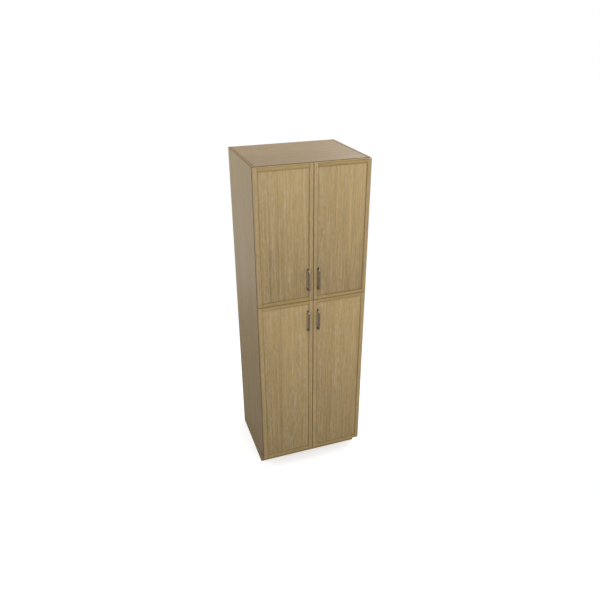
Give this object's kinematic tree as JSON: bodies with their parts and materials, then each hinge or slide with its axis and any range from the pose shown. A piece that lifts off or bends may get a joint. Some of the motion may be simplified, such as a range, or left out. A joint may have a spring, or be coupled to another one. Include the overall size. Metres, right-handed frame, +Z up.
{
  "type": "broom cupboard",
  "caption": "Tall free-standing broom cupboard in pale oak, with framed upper and lower doors on concealed hinges, bow pulls and a recessed toe space.",
  "frame": {"origin": "on the floor, under the middle of the whole outline, pulls included", "axes": "+X to the right seen from the front, +Y to the back, +Z up"},
  "size_m": [0.762, 0.6572, 2.286],
  "materials": {
    "oak_side": "matt limed oak veneer, upright grain",
    "oak_top": "matt limed oak veneer, grain along the width",
    "oak_shelf": "matt limed oak veneer, grain along the width",
    "oak_back": "matt oak-faced plywood, upright grain",
    "oak_rail": "sawn and sanded oak, grain along the rail",
    "oak_toe": "matt limed oak veneer, grain along the width",
    "oak_door_stile": "matt limed oak, upright grain",
    "oak_door_rail": "matt limed oak, grain along the rail",
    "oak_door_panel": "matt limed oak veneer, upright grain",
    "beech": "plain fluted beech",
    "dark_pewter": "dark pewter, satin",
    "nickel_steel": "nickel-plated pressed steel",
    "zinc_steel": "zinc-plated steel",
    "clear_bumper": "clear soft plastic"
  },
  "bodies": {
    "carcass": {"left_side_panel": "oak_side", "right_side_panel": "oak_side", "top_panel": "oak_top", "bottom_panel": "oak_shelf", "fixed_shelf": "oak_shelf", "back_panel": "oak_back", "upper_back_rail": "oak_rail", "middle_back_rail": "oak_rail", "lower_back_rail": "oak_rail", "toe_board": "oak_toe", "rear_toe_rail": "oak_rail", "adjustable_shelf_1": "oak_shelf", "adjustable_shelf_2": "oak_shelf", "shelf_pins": "nickel_steel", "carcass_dowels": "beech", "back_panel_screws": "zinc_steel", "door_bumpers": "clear_bumper", "hinge_mounting_plates": "nickel_steel", "hinge_arms": "nickel_steel", "hinge_screws": "zinc_steel"},
    "left_upper_door": {"left_upper_hinge_stile": "oak_door_stile", "left_upper_meeting_stile": "oak_door_stile", "left_upper_top_rail": "oak_door_rail", "left_upper_bottom_rail": "oak_door_rail", "left_upper_door_panel": "oak_door_panel", "left_upper_pull": "dark_pewter", "left_upper_pull_screws": "zinc_steel", "left_upper_hinge_cups": "nickel_steel"},
    "left_upper_outer_link_set": {"left_upper_outer_links": "nickel_steel"},
    "left_upper_inner_link_set": {"left_upper_inner_links": "nickel_steel"},
    "left_lower_door": {"left_lower_hinge_stile": "oak_door_stile", "left_lower_meeting_stile": "oak_door_stile", "left_lower_top_rail": "oak_door_rail", "left_lower_bottom_rail": "oak_door_rail", "left_lower_door_panel": "oak_door_panel", "left_lower_pull": "dark_pewter", "left_lower_pull_screws": "zinc_steel", "left_lower_hinge_cups": "nickel_steel"},
    "left_lower_outer_link_set": {"left_lower_outer_links": "nickel_steel"},
    "left_lower_inner_link_set": {"left_lower_inner_links": "nickel_steel"},
    "right_upper_door": {"right_upper_hinge_stile": "oak_door_stile", "right_upper_meeting_stile": "oak_door_stile", "right_upper_top_rail": "oak_door_rail", "right_upper_bottom_rail": "oak_door_rail", "right_upper_door_panel": "oak_door_panel", "right_upper_pull": "dark_pewter", "right_upper_pull_screws": "zinc_steel", "right_upper_hinge_cups": "nickel_steel"},
    "right_upper_outer_link_set": {"right_upper_outer_links": "nickel_steel"},
    "right_upper_inner_link_set": {"right_upper_inner_links": "nickel_steel"},
    "right_lower_door": {"right_lower_hinge_stile": "oak_door_stile", "right_lower_meeting_stile": "oak_door_stile", "right_lower_top_rail": "oak_door_rail", "right_lower_bottom_rail": "oak_door_rail", "right_lower_door_panel": "oak_door_panel", "right_lower_pull": "dark_pewter", "right_lower_pull_screws": "zinc_steel", "right_lower_hinge_cups": "nickel_steel"},
    "right_lower_outer_link_set": {"right_lower_outer_links": "nickel_steel"},
    "right_lower_inner_link_set": {"right_lower_inner_links": "nickel_steel"}
  },
  "joints": [
    {"name": "left_upper_link_swing", "type": "hinge", "parent": "carcass", "child": "left_upper_outer_link_set", "pos_m": [-0.3505, -0.2917, 0], "axis": [0, 0, 1], "range_deg": [0, 28]},
    {"name": "left_upper_door_swing", "type": "hinge", "parent": "left_upper_outer_link_set", "child": "left_upper_door", "pos_m": [-0.36865, -0.28955, 0], "axis": [0, 0, -1], "range_deg": [0, 119.9]},
    {"name": "left_upper_guide_link_swing", "type": "hinge", "parent": "carcass", "child": "left_upper_inner_link_set", "pos_m": [-0.3454, -0.2897, 0], "axis": [0, 0, 1], "range_deg": [0, 46.6]},
    {"name": "left_lower_link_swing", "type": "hinge", "parent": "carcass", "child": "left_lower_outer_link_set", "pos_m": [-0.3505, -0.2917, 0], "axis": [0, 0, 1], "range_deg": [0, 28]},
    {"name": "left_lower_door_swing", "type": "hinge", "parent": "left_lower_outer_link_set", "child": "left_lower_door", "pos_m": [-0.36865, -0.28955, 0], "axis": [0, 0, -1], "range_deg": [0, 119.9]},
    {"name": "left_lower_guide_link_swing", "type": "hinge", "parent": "carcass", "child": "left_lower_inner_link_set", "pos_m": [-0.3454, -0.2897, 0], "axis": [0, 0, 1], "range_deg": [0, 46.6]},
    {"name": "right_upper_link_swing", "type": "hinge", "parent": "carcass", "child": "right_upper_outer_link_set", "pos_m": [0.3505, -0.2917, 0], "axis": [0, 0, -1], "range_deg": [0, 28]},
    {"name": "right_upper_door_swing", "type": "hinge", "parent": "right_upper_outer_link_set", "child": "right_upper_door", "pos_m": [0.36865, -0.28955, 0], "axis": [0, 0, 1], "range_deg": [0, 119.9]},
    {"name": "right_upper_guide_link_swing", "type": "hinge", "parent": "carcass", "child": "right_upper_inner_link_set", "pos_m": [0.3454, -0.2897, 0], "axis": [0, 0, -1], "range_deg": [0, 46.6]},
    {"name": "right_lower_link_swing", "type": "hinge", "parent": "carcass", "child": "right_lower_outer_link_set", "pos_m": [0.3505, -0.2917, 0], "axis": [0, 0, -1], "range_deg": [0, 28]},
    {"name": "right_lower_door_swing", "type": "hinge", "parent": "right_lower_outer_link_set", "child": "right_lower_door", "pos_m": [0.36865, -0.28955, 0], "axis": [0, 0, 1], "range_deg": [0, 119.9]},
    {"name": "right_lower_guide_link_swing", "type": "hinge", "parent": "carcass", "child": "right_lower_inner_link_set", "pos_m": [0.3454, -0.2897, 0], "axis": [0, 0, -1], "range_deg": [0, 46.6]}
  ],
  "couplings": [
    {"joint": "left_upper_link_swing", "follows": "left_upper_door_swing", "ratio": 0.23269},
    {"joint": "left_upper_guide_link_swing", "follows": "left_upper_door_swing", "ratio": 0.38782},
    {"joint": "left_lower_link_swing", "follows": "left_lower_door_swing", "ratio": 0.23269},
    {"joint": "left_lower_guide_link_swing", "follows": "left_lower_door_swing", "ratio": 0.38782},
    {"joint": "right_upper_link_swing", "follows": "right_upper_door_swing", "ratio": 0.23269},
    {"joint": "right_upper_guide_link_swing", "follows": "right_upper_door_swing", "ratio": 0.38782},
    {"joint": "right_lower_link_swing", "follows": "right_lower_door_swing", "ratio": 0.23269},
    {"joint": "right_lower_guide_link_swing", "follows": "right_lower_door_swing", "ratio": 0.38782}
  ]
}
